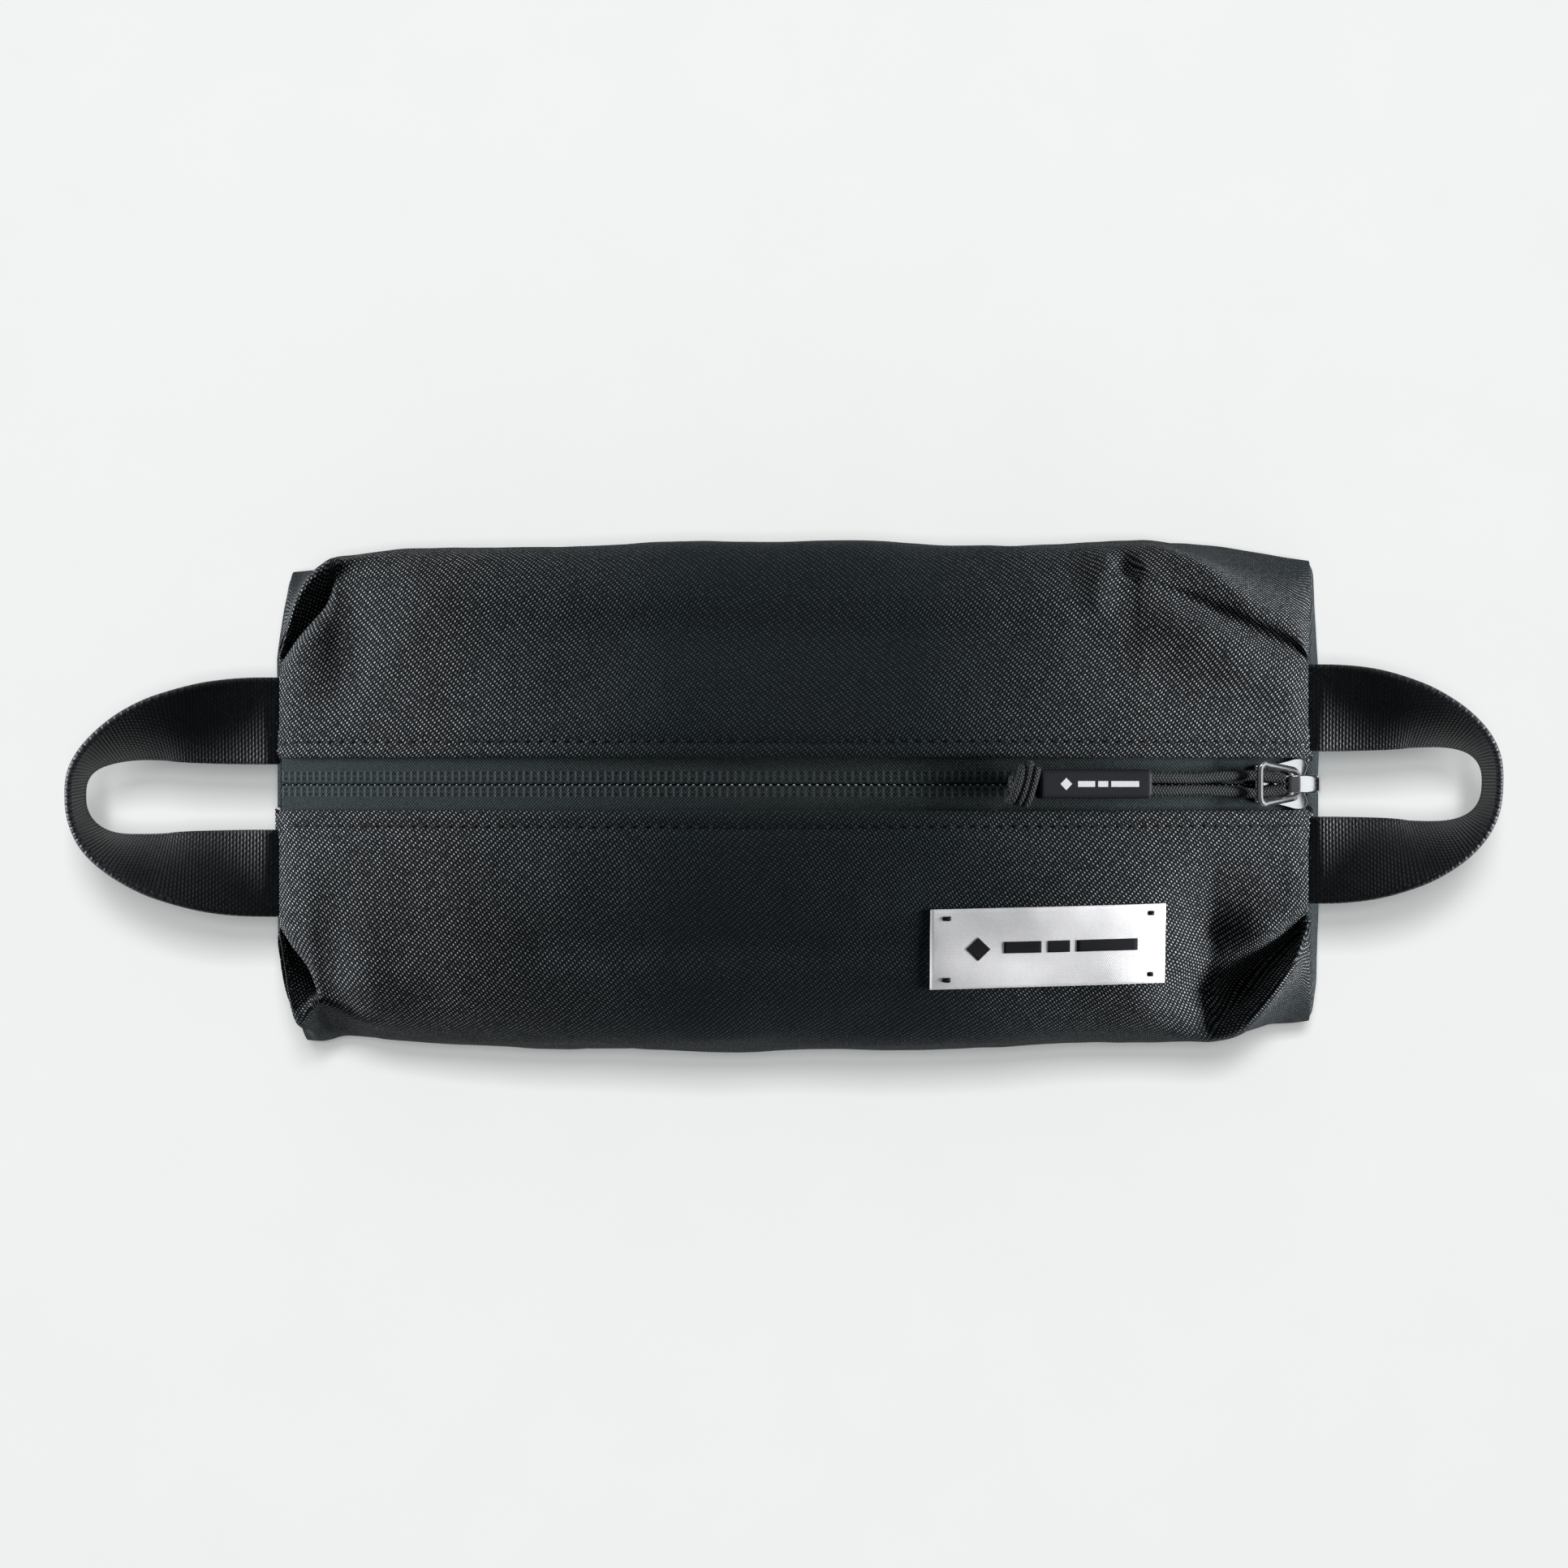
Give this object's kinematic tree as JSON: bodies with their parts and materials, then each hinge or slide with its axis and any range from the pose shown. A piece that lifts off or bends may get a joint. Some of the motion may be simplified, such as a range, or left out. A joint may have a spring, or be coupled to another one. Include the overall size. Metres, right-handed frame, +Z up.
{
  "type": "shaving kit bag",
  "caption": "Soft boxy toiletry bag with an arched top zip, tucked corners, a corded zip pull, a sewn label and a webbing loop at each end.",
  "frame": {"origin": "on the floor under the middle of the whole bag, loops included", "axes": "+X along the zip towards its closed end, -Y towards the labelled front, +Z up"},
  "size_m": [0.3276, 0.117, 0.097],
  "materials": {
    "body_fabric": "matte",
    "lining_fabric": "satin",
    "binding_tape": "matte",
    "label_cloth": "matte",
    "thread": "matte",
    "zip_tape": "matte",
    "zip_coil": "satin",
    "slider_metal": "polished",
    "ring_metal": "polished",
    "cord_braid": "matte",
    "sleeve_rubber": "matte",
    "webbing": "satin"
  },
  "bodies": {
    "bag": {"base_panel": "body_fabric", "front_panel": "body_fabric", "back_panel": "body_fabric", "left_end_panel": "body_fabric", "right_end_panel": "body_fabric", "front_top_panel": "body_fabric", "back_top_panel": "body_fabric", "base_lining": "lining_fabric", "front_lining": "lining_fabric", "back_lining": "lining_fabric", "left_end_lining": "lining_fabric", "right_end_lining": "lining_fabric", "front_top_lining": "lining_fabric", "back_top_lining": "lining_fabric", "left_seam_binding": "binding_tape", "right_seam_binding": "binding_tape", "label": "label_cloth", "label_tacks": "thread"},
    "front_zip_edge": {"front_zip_tape": "zip_tape", "front_zip_coil": "zip_coil"},
    "back_zip_edge": {"back_zip_tape": "zip_tape", "back_zip_coil": "zip_coil"},
    "slider": {"slider_body": "slider_metal", "slider_crown": "slider_metal", "slider_lock_pin": "slider_metal"},
    "pull": {"pull_cord": "cord_braid", "cord_sleeve": "sleeve_rubber", "cord_knot": "cord_braid"},
    "ring": {"pull_ring": "ring_metal"},
    "left_hang_loop": {"left_loop": "webbing"},
    "right_hang_loop": {"right_loop": "webbing"}
  },
  "joints": [
    {"name": "slider_travel", "type": "hinge", "parent": "bag", "child": "slider", "pos_m": [0.00225, 0, -0.1211], "axis": [0, -1, 0], "range_deg": [0, 61.5]},
    {"name": "front_mouth", "type": "hinge", "parent": "bag", "child": "front_zip_edge", "pos_m": [0.00225, 0, 0.06], "axis": [1, 0, 0], "range_deg": [0, 52], "deforming": ["front_zip_tape", "front_zip_coil", "front_top_panel", "front_top_lining", "label", "label_tacks"]},
    {"name": "back_mouth", "type": "hinge", "parent": "bag", "child": "back_zip_edge", "pos_m": [0.00225, 0, 0.06], "axis": [-1, 0, 0], "range_deg": [0, 52], "deforming": ["back_zip_tape", "back_zip_coil", "back_top_panel", "back_top_lining"]},
    {"name": "pull_lift", "type": "hinge", "parent": "slider", "child": "pull", "pos_m": [0.11778, 0, 0.06492], "axis": [0, 1, 0], "range_deg": [0, 95]},
    {"name": "ring_lift", "type": "hinge", "parent": "pull", "child": "ring", "pos_m": [0.11778, 0, 0.06492], "axis": [0, 1, 0], "range_deg": [0, 60]},
    {"name": "left_loop_swing", "type": "hinge", "parent": "bag", "child": "left_hang_loop", "pos_m": [-0.11735, 0, 0.062], "axis": [0, 1, 0], "range_deg": [-65, 30]},
    {"name": "right_loop_swing", "type": "hinge", "parent": "bag", "child": "right_hang_loop", "pos_m": [0.12185, 0, 0.062], "axis": [0, -1, 0], "range_deg": [-65, 30]}
  ],
  "couplings": [
    {"joint": "front_mouth", "follows": "slider_travel", "ratio": 0.84552},
    {"joint": "back_mouth", "follows": "slider_travel", "ratio": 0.84552}
  ]
}
